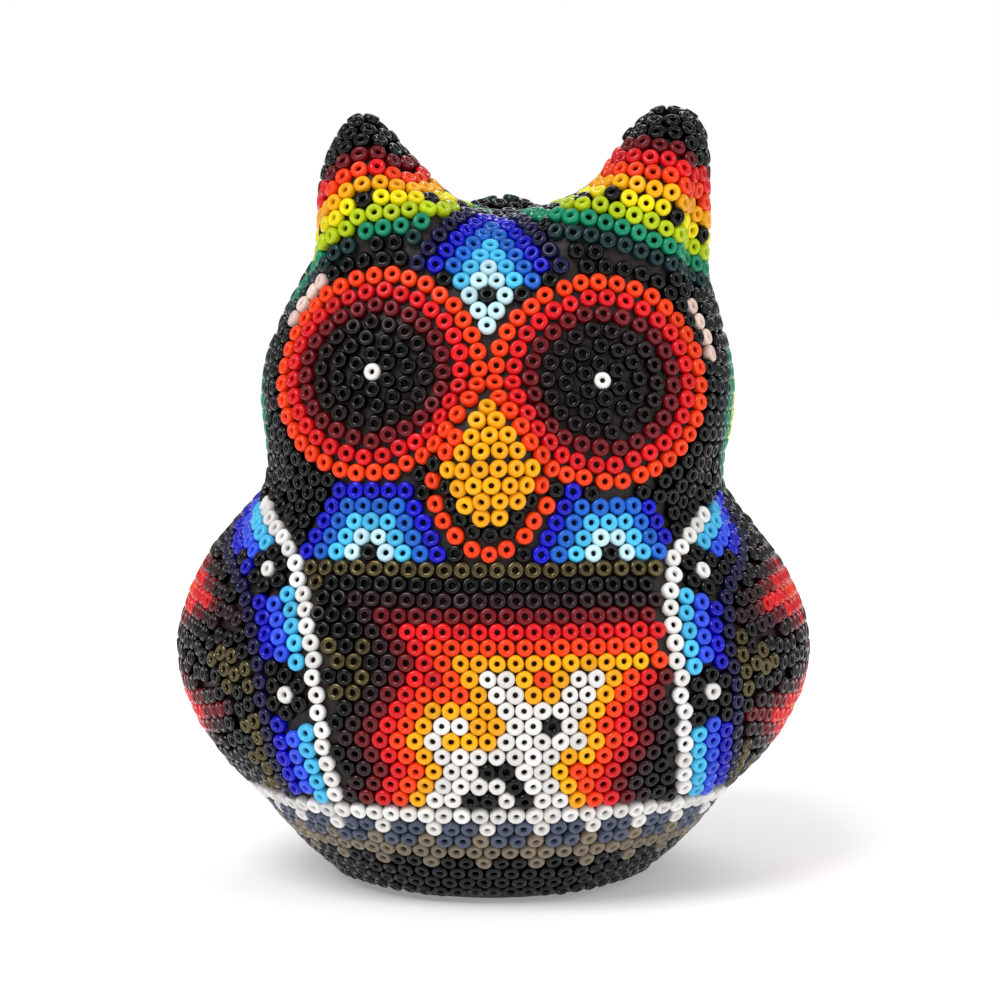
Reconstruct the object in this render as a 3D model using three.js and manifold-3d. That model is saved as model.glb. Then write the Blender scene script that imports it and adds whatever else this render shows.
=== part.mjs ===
// Beaded owl: a carved wooden core, a thin coat of beeswax, and a skin of glass beads pressed into the wax.
// Millimetres, +Z up. The owl faces -Y and the origin is the middle of its flat foot.
// The beads of one colour that lie together are one field, as thick as a bead is high.

import * as THREE from 'three';
import { mergeVertices } from 'three/addons/utils/BufferGeometryUtils.js';
import Module from 'manifold-3d';

// ---------------------------------------------------------------- driving dimensions

const BEAD_PITCH = 2.17; // middle to middle, beads side by side
const ROW_PITCH = BEAD_PITCH * Math.sqrt(3) / 2;
const BEAD_DIAMETER = 2.1;
const BEAD_HOLE = 0.75;
const BEAD_HEIGHT = 1.3; // along the hole, which points out of the surface
const GAP = 0.3; // clearance between neighbouring pieces
const WAX_THICKNESS = 0.8;

const WAX_TOP = BEAD_HEIGHT + GAP; // depths below the tops of the beads
const WAX_BOTTOM = WAX_TOP + WAX_THICKNESS;
const CORE_TOP = WAX_BOTTOM + 1.5 * GAP;

// Body and head by height: half width, front depth, back depth, sideways lean of the middle.
const BODY = [
  [-6, 4, 4, 4, 0],
  [-3, 15.6, 21, 19, 0],
  [0, 18.9, 25, 22, 0],
  [4, 24, 28.6, 26, 0],
  [8, 28.3, 32, 30, 0],
  [12, 31.2, 34.8, 33.4, 0],
  [16, 34.6, 36.6, 36, 0],
  [20, 37.5, 37.6, 37.4, 0],
  [25, 39.8, 38, 38, 0],
  [30, 40.5, 37.8, 38, 0],
  [35, 39.5, 37, 37.2, 0],
  [40, 37.2, 35.7, 35.4, -0.1],
  [45, 33.8, 34.4, 32.6, -0.2],
  [50, 29.7, 33.2, 30, 0.2],
  [55, 29.4, 32.2, 28.6, 0.7],
  [60, 30.2, 31.4, 28.4, 0.9],
  [65, 30.3, 30.6, 28.2, 0.9],
  [70, 29.1, 29.7, 26.8, 1.1],
  [75, 27.1, 28.4, 24, 1.5],
  [79, 25.5, 26.6, 20.8, 1.9],
  [82, 23.6, 23.6, 16.6, 2.1],
  [84.5, 19.6, 18.8, 10, 2.2],
  [86, 12, 13, 2, 2.2],
  [86.8, 3, 8, -4, 2.2],
];
const BODY_ROUNDNESS = 2.2; // exponent of the cross-section: 2 is an ellipse
const FACE_ROUNDNESS = 3.2; // the face is flatter, with round corners
const FACE_FROM = 42;
const FACE_FULL = 58;
const CENTRE = new THREE.Vector3(1, -6, 52); // every point of the surface is seen from here

// Ears: half width and half depth by distance below the tip.
const EAR = [
  [0, 1.7, 1.7],
  [0.8, 3, 2.8],
  [1.8, 4.1, 3.9],
  [3, 4.9, 4.9],
  [5.6, 6.1, 6.4],
  [8.2, 6.8, 7.8],
  [10.7, 7.9, 9.4],
  [14, 11, 12],
];
const EAR_DEPTH = 15;
const EAR_FRONT = -13; // the middle of the tip, from front to back
const EAR_FORWARD = 0.12; // how fast the ear moves forward below its tip
const EAR_RADIUS = 5.5; // from the outer edge of an ear to the middle of its tip
const CORE_EAR_TOP = 93; // the wood of the ears stops here, and wax fills their tips

// Each ear: height of its tip, how far out its outer edge is there, how that edge splays downwards, its
// slimness, how far its tip is tucked inwards, and how much wider it is at depths under the tip. Its bands
// of colour end at these depths under the tip. They fall outwards with a curl, and rise inwards by one slope
// near the tip and another one low down.
const LEFT_EAR = {
  side: -1, tip: 98.3, edge: 19.6, splay: 0.19, slim: 0.96, tuck: 0.3,
  wider: [[0, 0], [1, 0], [4, -0.4], [8, 0.2], [11.5, 1.4], [14, 1.4]],
  bandDepths: [4.3, 8.4, 13.1, 15.8], fall: 0.35, curl: 0.06, riseTop: -0.4, riseLow: 0.1,
};
const RIGHT_EAR = {
  side: 1, tip: 99.5, edge: 27.9, splay: 0, slim: 1, tuck: 2.2,
  wider: [[0, -0.6], [2, -0.3], [5, 0.3], [8, -0.2], [11, 0.1], [14, 0.9]],
  bandDepths: [5.1, 11, 17, 20.7], fall: 0.6, curl: 0.06, riseTop: 0.25, riseLow: 0.55,
};
const EARS = [LEFT_EAR, RIGHT_EAR];
const MID_CROWN = 2;

const WING_RELIEF = 0.9; // the wings stand proud of the breast
const WING_BOTTOM = 13.8;
const WING_TOP = 50;
const WING_BACK = 20;

// Where the white line that edges each wing runs, as [height, distance from the middle].
const LINE_LOW = 12;
const LINE_HIGH = 51;
const WING_LINES = {
  left: [
    [LINE_LOW, 17], [16, 18.1], [20, 19.1], [25, 19.6], [31, 20.4],
    [37, 21.4], [43, 23.3], [46, 25], [49, 27.7], [LINE_HIGH, 29.5],
  ],
  right: [
    [LINE_LOW, 24.7], [20, 24.6], [25, 24.4], [31, 23.6],
    [37, 23], [43, 23.1], [46, 24.1], [49, 27.1], [LINE_HIGH, 29.3],
  ],
};
const LINE_HALF = 0.97;
const LINE_END = 49.4; // the white beads stop here, under the head

// Middles of the motifs, as [distance from the middle of the owl, height].
const EYES = { left: [-13.5, 66.2], right: [14.5, 65.2] };
const BEAK = [1, 55.6];
const CHEEKS = { left: [-13.7, 43.4], right: [16.2, 43.4] };
const BREAST_ROW_TOP = 43.2;
const BREAST_ROW_BOTTOM = 41.5;

// ---------------------------------------------------------------- colours of glass, wood and wax

const glass = { roughness: 0.15, metalness: 0 };
const white = { color: 0xf0eeec, ...glass };
const black = { color: 0x101012, ...glass };
const gold = { color: 0xf5a500, ...glass };
const orange = { color: 0xfa5014, ...glass };
const red = { color: 0xe11e23, ...glass };
const maroon = { color: 0x6e1923, ...glass };
const yellow = { color: 0xf5dc00, ...glass };
const green = { color: 0x0f8c69, ...glass };
const blue = { color: 0x1e3cd2, ...glass };
const slate = { color: 0x555f73, ...glass };
const taupe = { color: 0x968c80, ...glass };
const bronze = { color: 0x786e50, roughness: 0.25, metalness: 0.6 };
const wax = { color: 0x6a5233, roughness: 0.5, metalness: 0 };
const wood = { color: 0xc9a26b, roughness: 0.7, metalness: 0 };

// ---------------------------------------------------------------- small mathematics

const smoothstep = THREE.MathUtils.smoothstep;
const lerp = THREE.MathUtils.lerp;

// A smooth curve through the rows of a table: the value of one column at a position in the first.
function follow(rows, at, column) {
  const last = rows.length - 1;
  let i = 0;
  while (i < last - 1 && at > rows[i + 1][0]) {
    i += 1;
  }
  const slope = (k) => {
    const before = rows[Math.max(k - 1, 0)];
    const after = rows[Math.min(k + 1, last)];
    return (after[column] - before[column]) / (after[0] - before[0]);
  };
  const step = rows[i + 1][0] - rows[i][0];
  const t = THREE.MathUtils.clamp((at - rows[i][0]) / step, 0, 1);
  const a = 2 * t ** 3 - 3 * t ** 2 + 1;
  const b = t ** 3 - 2 * t ** 2 + t;
  const c = 3 * t ** 2 - 2 * t ** 3;
  const d = t ** 3 - t ** 2;
  return a * rows[i][column] + b * step * slope(i) + c * rows[i + 1][column] + d * step * slope(i + 1);
}

// The smaller of two distances, with a rounded valley of the given size where they meet.
function blend(a, b, size) {
  const h = Math.max(size - Math.abs(a - b), 0) / size;
  return Math.min(a, b) - h * h * size / 4;
}

// How far along X the white wing line runs from the middle, with its sign.
function wingLine(side, z) {
  const rows = side < 0 ? WING_LINES.left : WING_LINES.right;
  return side * follow(rows, THREE.MathUtils.clamp(z, LINE_LOW, LINE_HIGH), 1);
}

// ---------------------------------------------------------------- the owl's surface

function bodyDistance(p) {
  const z = THREE.MathUtils.clamp(p.z, BODY[0][0], BODY[BODY.length - 1][0]);
  const front = follow(BODY, z, 2);
  const back = follow(BODY, z, 3);
  const depth = (front + back) / 2;
  const x = p.x - follow(BODY, z, 4);
  const y = p.y - (back - front) / 2;
  const face = smoothstep(z, FACE_FROM, FACE_FULL) * smoothstep(-y, -4, 10);
  const n = lerp(BODY_ROUNDNESS, FACE_ROUNDNESS, face);
  const halfWidth = follow(BODY, z, 1);
  const ratio = (Math.abs(x / halfWidth) ** n + Math.abs(y / depth) ** n) ** (1 / n);
  const outside = Math.abs(x) - Math.abs(wingLine(Math.sign(x) || 1, z));
  const overFoot = smoothstep(z, WING_BOTTOM - 2, WING_BOTTOM);
  const onWing = overFoot * (1 - smoothstep(z, WING_TOP - 3, WING_TOP + 1));
  const relief = WING_RELIEF * smoothstep(outside, -0.5, 2) * onWing;
  const above = Math.abs(p.z - z);
  return (ratio - 1) * Math.min(halfWidth, depth) - relief + above;
}

function earDistance(p, ear) {
  const below = ear.tip - p.z;
  const d = THREE.MathUtils.clamp(below, 0, 14);
  const halfWidth = follow(EAR, d, 1) * ear.slim + follow(ear.wider, d, 1);
  const halfDepth = follow(EAR, d, 2);
  const outerEdge = ear.edge + ear.splay * d - ear.tuck * (1 - smoothstep(d, 0, 6));
  const x = p.x - ear.side * (outerEdge - halfWidth);
  const y = p.y - EAR_FRONT + EAR_FORWARD * d;
  const ratio = Math.hypot(x / halfWidth, y / halfDepth);
  const beyond = Math.max(-below, 0) + 2 * Math.max(below - EAR_DEPTH, 0);
  return (ratio - 1) * Math.min(halfWidth, halfDepth) + beyond;
}

// The relief of the beak is an egg that stands out of the face.
const BEAK_EGG = { halfWidth: 6.6, halfDepth: 4.6, halfHeight: 8.8, back: 32.4, drop: 1.2 };
function beakDistance(p) {
  const x = (p.x - BEAK[0]) / BEAK_EGG.halfWidth;
  const y = (p.y + BEAK_EGG.back) / BEAK_EGG.halfDepth;
  const z = (p.z - BEAK[1] + BEAK_EGG.drop) / BEAK_EGG.halfHeight;
  return (Math.hypot(x, y, z) - 1) * BEAK_EGG.halfDepth;
}

function distance(p) {
  const head = EARS.reduce((d, ear) => blend(d, earDistance(p, ear), 2.5), bodyDistance(p));
  return blend(head, beakDistance(p), 2.5);
}

function surfacePoint(direction) {
  const at = (r) => CENTRE.clone().addScaledVector(direction, r);
  let outside = 75;
  while (distance(at(outside)) > 0) {
    outside -= 0.5;
  }
  let inside = outside;
  outside += 0.5;
  for (let i = 0; i < 18; i += 1) {
    const middle = (inside + outside) / 2;
    if (distance(at(middle)) > 0) {
      outside = middle;
    } else {
      inside = middle;
    }
  }
  return at(inside);
}

function surfaceNormal(p) {
  const step = 0.4;
  const slope = (axis) => {
    const offset = new THREE.Vector3().setComponent(axis, step);
    return distance(p.clone().add(offset)) - distance(p.clone().sub(offset));
  };
  return new THREE.Vector3(slope(0), slope(1), slope(2)).normalize();
}

// Facets crowd onto the ears, which are the smallest features.
function crowdOntoEars(direction) {
  for (const ear of EARS) {
    const tip = new THREE.Vector3(ear.side * (ear.edge - ear.tuck - EAR_RADIUS), EAR_FRONT, ear.tip);
    tip.sub(CENTRE).normalize();
    const pull = 0.6 * Math.exp(-((direction.angleTo(tip) / 0.5) ** 2));
    direction.lerp(tip, pull).normalize();
  }
  return direction;
}

function onlyPositions(geometry) {
  geometry.deleteAttribute('normal');
  geometry.deleteAttribute('uv');
  return mergeVertices(geometry, 1e-4);
}

const FACETS = 6;
const sphere = onlyPositions(new THREE.IcosahedronGeometry(1, FACETS));
const surface = [];
for (let i = 0; i < sphere.attributes.position.count; i += 1) {
  const direction = new THREE.Vector3().fromBufferAttribute(sphere.attributes.position, i).normalize();
  const point = surfacePoint(crowdOntoEars(direction));
  surface.push({ point, normal: surfaceNormal(point) });
}

// ---------------------------------------------------------------- solids

const wasm = await Module();
wasm.setup();

function solid(geometry) {
  const merged = onlyPositions(geometry);
  return new wasm.Manifold(new wasm.Mesh({
    numProp: 3,
    vertProperties: new Float32Array(merged.attributes.position.array),
    triVerts: new Uint32Array(merged.index.array),
  }));
}

// The owl's surface, moved inwards by a depth.
function owl(depth) {
  const geometry = sphere.clone();
  surface.forEach(({ point, normal }, i) => {
    geometry.attributes.position.setXYZ(i, ...point.clone().addScaledVector(normal, -depth));
  });
  return solid(geometry);
}

function box(x0, x1, y0, y1, z0, z1) {
  const geometry = new THREE.BoxGeometry(x1 - x0, y1 - y0, z1 - z0);
  geometry.translate((x0 + x1) / 2, (y0 + y1) / 2, (z0 + z1) / 2);
  return solid(geometry);
}

// An outline of [x, z] points, extruded along Y.
function prism(points, y0, y1) {
  const shape = new THREE.Shape(points.map(([x, z]) => new THREE.Vector2(x, z)));
  const geometry = new THREE.ExtrudeGeometry(shape, { depth: y1 - y0, bevelEnabled: false });
  geometry.rotateX(Math.PI / 2);
  geometry.translate(0, y1, 0);
  return solid(geometry);
}

// A rounded outline around a centre, with half sizes and an exponent.
function rounded(x, z, halfX, halfZ, exponent, sides) {
  const points = [];
  for (let i = 0; i < sides; i += 1) {
    const angle = 2 * Math.PI * i / sides;
    const c = Math.cos(angle);
    const s = Math.sin(angle);
    const r = (Math.abs(c / halfX) ** exponent + Math.abs(s / halfZ) ** exponent) ** (-1 / exponent);
    points.push([x + r * c, z + r * s]);
  }
  return points;
}

// A short round bar through the surface at a point, square to the surface there.
function bar(point, normal, radius, sides = 24) {
  const geometry = new THREE.CylinderGeometry(radius, radius, 16, sides);
  const turn = new THREE.Quaternion().setFromUnitVectors(new THREE.Vector3(0, 1, 0), normal);
  geometry.applyQuaternion(turn);
  geometry.translate(...point);
  return solid(geometry);
}

// The front surface point at a distance across and a height, and the normal there.
function inFront(x, z) {
  const point = new THREE.Vector3(x, -31, z);
  for (let round = 0; round < 12; round += 1) {
    point.y = surfacePoint(point.clone().sub(CENTRE).normalize()).y;
  }
  return { point, normal: surfaceNormal(point) };
}

// ---------------------------------------------------------------- the pieces

const group = new THREE.Group();

function add(name, material, piece) {
  const { vertProperties, triVerts } = piece.getMesh();
  const geometry = new THREE.BufferGeometry();
  geometry.setAttribute('position', new THREE.BufferAttribute(vertProperties, 3));
  geometry.setIndex(new THREE.BufferAttribute(triVerts, 1));
  const mesh = new THREE.Mesh(geometry, new THREE.MeshStandardMaterial(material));
  mesh.name = name;
  group.add(mesh);
}

const FAR = 80;
const HIGH = 120;
const FACE = -10; // motifs of the face and breast lie in front of this plane
const below = (z) => box(-FAR, FAR, -FAR, FAR, -FAR, z);
const above = (z) => box(-FAR, FAR, -FAR, FAR, z, HIGH);

add('core', wood, owl(CORE_TOP).subtract(below(0)).subtract(above(CORE_EAR_TOP)));
add('wax_coat', wax, owl(WAX_TOP).subtract(owl(WAX_BOTTOM)).subtract(below(0.4)));

// The skin of beads before it is shared out. Each field takes what lies inside its cutter, and the
// fields after it keep a gap to it. A cutter is a function of how much it is grown all round.
let skin = owl(0).subtract(owl(BEAD_HEIGHT)).subtract(below(0.6));

function take(name, material, cutter) {
  add(name, material, skin.intersect(cutter(0)));
  skin = skin.subtract(cutter(GAP));
}

// Beak: a golden lozenge, with two rows wrapped round its lower half.
const GOLD_HALF = [5.6, 7.9];
const RIM_HALF = 10;
const RIM_TOPS = [56.1, 52.9]; // at its left and at its right end
const beakOutline = (across, along) => {
  return prism(rounded(...BEAK, GOLD_HALF[0] + across, GOLD_HALF[1] + along, 1.8, 20), -FAR, FACE);
};
const beakRim = (across, along, g) => {
  const [left, right] = [BEAK[0] - RIM_HALF, BEAK[0] + RIM_HALF];
  const under = [[left, 0], [right, 0], [right, RIM_TOPS[1] + g], [left, RIM_TOPS[0] + g]];
  return beakOutline(across + g, along + g).intersect(prism(under, -FAR, FACE));
};
take('beak_gold_field', gold, (g) => beakOutline(g, g));
take('beak_black_rim', black, (g) => beakRim(0.8, 1.6, g));
take('beak_orange_rim', orange, (g) => beakRim(2.4, 3.4, g));

// Eyes: one white bead, and rings of beads around it.
const EYE_RINGS = [
  ['black_field', black, 3.5],
  ['maroon_ring', maroon, 4.5],
  ['red_ring', red, 5.5],
  ['orange_ring', orange, 6.6],
];
const BEAD_ROUND = 0.35; // rounding of a bead's edges
function pupilBead(point, normal) {
  const bead = new THREE.LatheGeometry([
    new THREE.Vector2(BEAD_HOLE / 2, BEAD_ROUND / 2),
    new THREE.Vector2(BEAD_DIAMETER / 2 - BEAD_ROUND, 0),
    new THREE.Vector2(BEAD_DIAMETER / 2, BEAD_ROUND),
    new THREE.Vector2(BEAD_DIAMETER / 2, BEAD_HEIGHT - BEAD_ROUND),
    new THREE.Vector2(BEAD_DIAMETER / 2 - BEAD_ROUND, BEAD_HEIGHT),
    new THREE.Vector2(BEAD_HOLE / 2, BEAD_HEIGHT - BEAD_ROUND / 2),
    new THREE.Vector2(BEAD_HOLE / 2, BEAD_ROUND / 2),
  ], 12);
  bead.translate(0, -BEAD_HEIGHT, 0);
  bead.applyQuaternion(new THREE.Quaternion().setFromUnitVectors(new THREE.Vector3(0, 1, 0), normal));
  bead.translate(...point);
  return solid(bead);
}
for (const [name, [x, z]] of Object.entries(EYES)) {
  const { point, normal } = inFront(x, z);
  add(`eye_${name}_pupil_bead`, white, pupilBead(point, normal));
  skin = skin.subtract(bar(point, normal, BEAD_DIAMETER / 2 + GAP, 12));
  for (const [ring, colour, radius] of EYE_RINGS) {
    take(`eye_${name}_${ring}`, colour, (g) => bar(point, normal, radius * BEAD_PITCH + g, 18));
  }
}

// Forehead: a blue diamond whose point reaches down between the eyes.
const FOREHEAD = { x: 0.5, point: 69.8, wide: 79.3, top: 84.9, halfWidth: 8.4, halfTop: 4.6 };
function foreheadOutline(g) {
  const { x, point, wide, top, halfWidth, halfTop } = FOREHEAD;
  return [
    [x, point - g], [x + halfWidth + g, wide], [x + halfTop + g, top + g],
    [x - halfTop - g, top + g], [x - halfWidth - g, wide],
  ];
}
take('forehead_blue_diamond', blue, (g) => prism(foreheadOutline(g), -FAR, FACE));

// Ears: bands of colour from the black tip down to a green band that runs onto the crown.
const EAR_BANDS = [['black_tip', black], ['red_band', red], ['yellow_band', yellow], ['green_band', green]];
const EAR_REACH = 45; // the bands are drawn this far out

// Height of a band's lower edge at a distance along X.
function bandEdge(ear, depth, x) {
  const out = ear.side * x - ear.edge + EAR_RADIUS;
  const outwards = Math.min(Math.max(out, 0), 2 * EAR_RADIUS);
  const inwards = 12 * Math.tanh(Math.max(-out, 0) / 12);
  const rise = lerp(ear.riseTop, ear.riseLow, smoothstep(depth, 4, 14));
  return ear.tip - depth - ear.fall * outwards - ear.curl * outwards ** 2 + rise * inwards;
}

function earBand(ear, depth, g) {
  const inner = MID_CROWN + ear.side * (0.4 - g);
  const steps = 12;
  const points = [[ear.side * EAR_REACH, HIGH], [inner, HIGH]];
  for (let i = 0; i <= steps; i += 1) {
    const x = lerp(inner, ear.side * EAR_REACH, i / steps);
    points.push([x, bandEdge(ear, depth, x) - g]);
  }
  return prism(points, -FAR, FAR);
}
for (const [name, ear] of [['left', LEFT_EAR], ['right', RIGHT_EAR]]) {
  EAR_BANDS.forEach(([band, colour], i) => {
    take(`ear_${name}_${band}`, colour, (g) => earBand(ear, ear.bandDepths[i], g));
  });
}

// Foot: rings of beads all round, from the foot up to the white ring under the breast and wings.
const FOOT_RINGS = [
  ['foot_black_ring', black, 5.6],
  ['foot_taupe_ring', taupe, 8.7],
  ['foot_slate_ring', slate, 11.8],
  ['foot_white_ring', white, 13.6],
];
for (const [name, colour, top] of FOOT_RINGS) {
  take(name, colour, (g) => below(top + g));
}

// Wings: a white line along the front edge, bands of blue behind it, and two flowers that break the bands.
// A strip follows the white line, between two distances outwards from it.
function strip(side, near, far, z0, z1, back = 4) {
  const steps = 8;
  const points = [];
  for (let i = 0; i <= steps; i += 1) {
    const z = lerp(z0, z1, i / steps);
    points.push([wingLine(side, z) + side * near, z]);
  }
  for (let i = steps; i >= 0; i -= 1) {
    const z = lerp(z0, z1, i / steps);
    points.push([wingLine(side, z) + side * far, z]);
  }
  return prism(points, -FAR, back);
}

// The front between the two white lines, from one height to another.
function breast(z0, z1) {
  return strip(-1, 0, -60, z0, z1).intersect(strip(1, 0, -60, z0, z1));
}

const WINGS = [['left', -1], ['right', 1]];
const FLOWERS = [['upper', 42.1], ['lower', 27.2]];
const FLOWER_OFFSET = 3.7;
const FLOWER_RADIUS = 3.3;
const BLUE_BANDS = [['upper', 44.4, 48.7], ['middle', 29.4, 40.8], ['lower', 0, 24.8]];
const BLUE_WIDTH = 7.6;
for (const [name, side] of WINGS) {
  take(`wing_${name}_white_line`, white, (g) => {
    return strip(side, -LINE_HALF - g, LINE_HALF + g, 0, LINE_END + g, FACE);
  });
  for (const [level, z] of FLOWERS) {
    const { point, normal } = inFront(wingLine(side, z) + side * FLOWER_OFFSET, z);
    take(`wing_${name}_${level}_flower`, black, (g) => bar(point, normal, FLOWER_RADIUS + g, 12));
  }
  for (const [level, z0, z1] of BLUE_BANDS) {
    take(`wing_${name}_${level}_blue_band`, blue, (g) => strip(side, 0, BLUE_WIDTH + g, z0 - g, z1 + g));
  }
}

// Cheeks: a blue fan of beads below each eye.
const FAN_HALF = 4.3 * BEAD_PITCH;
const FAN_HEIGHT = 4 * ROW_PITCH;
for (const [name, [x, z]] of Object.entries(CHEEKS)) {
  take(`cheek_${name}_blue_fan`, blue, (g) => {
    const half = FAN_HALF + g;
    const corner = half / 2;
    const bottom = z - g;
    const top = z + FAN_HEIGHT + g;
    const fan = [[x - half, bottom], [x + half, bottom], [x + corner, top], [x - corner, top]];
    return prism(fan, -FAR, FACE).intersect(breast(bottom, top));
  });
}

// Breast: a dark panel between the wing lines with a row of bronze beads along its top, and inside it
// a white motif with warm colours spreading from it ring by ring.
const MOTIF_CENTRE = [5.3, 21.5];
const MOTIF_SIZE = [12, 8.3];
const HALO_STEP = 0.9 * BEAD_PITCH;
const MOTIF_RINGS = [
  ['white_motif', white, 0],
  ['yellow_halo', gold, 1],
  ['orange_halo', orange, 2],
  ['red_halo', red, 3.6],
];
take('breast_bronze_row', bronze, (g) => breast(BREAST_ROW_BOTTOM - g, BREAST_ROW_TOP + g));
for (const [name, colour, ring] of MOTIF_RINGS) {
  take(`breast_${name}`, colour, (g) => {
    const grow = ring * HALO_STEP + g;
    const outline = rounded(...MOTIF_CENTRE, MOTIF_SIZE[0] + grow, MOTIF_SIZE[1] + grow, 4, 20);
    return prism(outline, -FAR, FACE).intersect(breast(0, BREAST_ROW_BOTTOM));
  });
}
take('breast_black_field', black, (g) => breast(0, BREAST_ROW_BOTTOM + g));

// Wing sides: two warm suns on each wing, on a black ground.
const SUNS = [['upper', -10, 36.5, 12, 4.6], ['lower', -7, 23, 15, 6.2]];
function sideOval(side, y, z, halfY, halfZ) {
  const outline = rounded(y, z, halfY, halfZ, 2, 24);
  const shape = new THREE.Shape(outline.map(([u, v]) => new THREE.Vector2(u, v)));
  const geometry = new THREE.ExtrudeGeometry(shape, { depth: FAR, bevelEnabled: false });
  geometry.rotateX(Math.PI / 2);
  geometry.rotateZ(side * Math.PI / 2);
  return solid(geometry);
}
const WING_INNER = 15; // the wings' ground reaches this far in behind
for (const [name, side] of WINGS) {
  for (const [level, y, z, halfY, halfZ] of SUNS) {
    take(`wing_${name}_${level}_sun`, red, (g) => sideOval(side, side * y, z, halfY + g, halfZ + g));
  }
  take(`wing_${name}_black_field`, black, (g) => {
    const front = strip(side, -g, FAR, 0, WING_TOP + g);
    const [x0, x1] = side < 0 ? [-FAR, -WING_INNER] : [WING_INNER, FAR];
    return front.add(box(x0, x1, 0, WING_BACK + g, 0, WING_TOP + g));
  });
}

// Back: a flower of rings between the wings, a diamond on the back of the head, and the black grounds.
const BACK = 5; // motifs of the back lie behind this plane
const BACK_FLOWER = [0, 29];
const BACK_RINGS = [['red_flower', red, 6.5], ['blue_flower_ring', blue, 13]];
for (const [name, colour, radius] of BACK_RINGS) {
  take(`back_${name}`, colour, (g) => {
    return prism(rounded(...BACK_FLOWER, radius + g, radius + g, 2, 24), BACK, FAR);
  });
}
take('back_black_field', black, (g) => box(-FAR, FAR, BACK, FAR, 0, WING_TOP + g));
const HEAD_DIAMOND = { centre: [0, 66], half: [9, 10] };
take('head_back_blue_diamond', blue, (g) => {
  const [halfX, halfZ] = HEAD_DIAMOND.half;
  return prism(rounded(...HEAD_DIAMOND.centre, halfX + g, halfZ + g, 1.2, 16), BACK, FAR);
});
const CHIN = { half: 15, top: 56 };
take('chin_black_field', black, () => box(-CHIN.half, CHIN.half, -FAR, FACE, 0, CHIN.top));
take('head_black_field', black, () => box(-FAR, FAR, -FAR, FAR, 0, HIGH));

export default group;
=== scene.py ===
"""Beaded owl: thousands of separate glass beads pressed hole outwards into a coat of wax on a wooden core.

The beads are laid on one smooth surface, which is worked out from the wax coat of the frame. Every motif
starts from the place that its own field has in the frame, and the beads of one colour in one motif are one
piece. Lengths are in millimetres until a mesh is made.
"""

import itertools
import math
import random

import bpy
import numpy as np
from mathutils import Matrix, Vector
from mathutils.bvhtree import BVHTree
from mathutils.geometry import barycentric_transform
from mathutils.kdtree import KDTree


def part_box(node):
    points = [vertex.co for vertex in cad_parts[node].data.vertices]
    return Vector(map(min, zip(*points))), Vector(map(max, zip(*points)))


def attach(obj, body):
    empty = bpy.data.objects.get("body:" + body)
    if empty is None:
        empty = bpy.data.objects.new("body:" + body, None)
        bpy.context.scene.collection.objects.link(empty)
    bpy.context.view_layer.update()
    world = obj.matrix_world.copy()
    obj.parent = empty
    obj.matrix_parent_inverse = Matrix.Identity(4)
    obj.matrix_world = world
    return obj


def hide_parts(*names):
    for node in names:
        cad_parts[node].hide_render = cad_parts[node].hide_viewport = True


# ---- driving dimensions

MM = 0.001
BEAD_DIAMETER = 2.2
BEAD_HOLE = 0.62
BEAD_HEIGHT = 1.35
PITCH = 2.17  # middle to middle, beads side by side in a row
ROW = PITCH * math.sqrt(3) / 2
TOP_OVER_CAD_WAX = 1.6  # how far the tops of the beads stand over the frame's wax coat
SUNK = 0.3  # how deep the beads sit in the visible wax
WAX_THICKNESS = 1.1
WAX_LOWEST = 0.2  # the coat ends this far over the table
WAX_WAVES = 0.02  # height of each of the waves on its top
STAR_MIDDLE = Vector((1, -6, 52))  # the whole surface of the owl can be seen from here
LOWEST_BEAD = 1.35  # no bead's middle is lower than this over the table
CLOSEST = 0.82 * PITCH  # a bead isn't laid nearer than this to another
TIGHT = 1.7  # beads of a small motif may lie this near
GROUND_CLOSEST = 1.98
LOOSEST = [1, 0.9, 0.86, 0.83, 0.8, 0.78]  # chinks that take a bead at these shares of the pitch are filled
SETTLE_ROUNDS = 10
SETTLED = 2.17  # beads push each other apart up to this distance
SETTLE_SHARE = 0.6  # part of the push that a bead gives way to in one round
GROUND_EASE = 1.0  # how readily the beads of the ground give way
MOTIF_EASE = 0.35  # and those of the motifs
FRONT = -5  # what lies before this, along Y, is the front of the owl
FAR = 200  # far outside the owl, to look at it from
SEED = 20

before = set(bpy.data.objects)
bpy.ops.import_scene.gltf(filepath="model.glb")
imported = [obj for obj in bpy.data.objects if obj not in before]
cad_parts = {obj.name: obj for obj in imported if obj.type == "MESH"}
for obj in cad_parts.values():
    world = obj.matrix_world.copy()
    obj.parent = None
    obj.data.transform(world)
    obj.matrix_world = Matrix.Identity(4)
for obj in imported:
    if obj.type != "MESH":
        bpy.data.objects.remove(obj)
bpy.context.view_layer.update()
dice = random.Random(SEED)

SIDES = {"left": -1, "right": 1}


def box(node):
    """Lowest and highest corner of a node, in millimetres."""
    low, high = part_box(node)
    return low / MM, high / MM


def middle(node):
    low, high = box(node)
    return (low + high) / 2


def smooth(value, start, end):
    """0 before start, 1 after end, and an S curve between them."""
    t = np.clip((value - start) / (end - start), 0, 1)
    return t * t * (3 - 2 * t)


def stagger(row):
    """Every other row is moved by half a bead."""
    return (row % 2) / 2


# ---- the surface that the beads lie on


def point_tree(points):
    tree = KDTree(len(points))
    for i, point in enumerate(points):
        tree.insert(point, i)
    tree.balance()
    return tree


def face_tree(points, corners):
    return BVHTree.FromPolygons(points.tolist(), corners.tolist())


def edges(corners):
    """The three edges of each triangle, as pairs of points."""
    return np.concatenate([corners[:, [0, 1]], corners[:, [1, 2]], corners[:, [2, 0]]])


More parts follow.
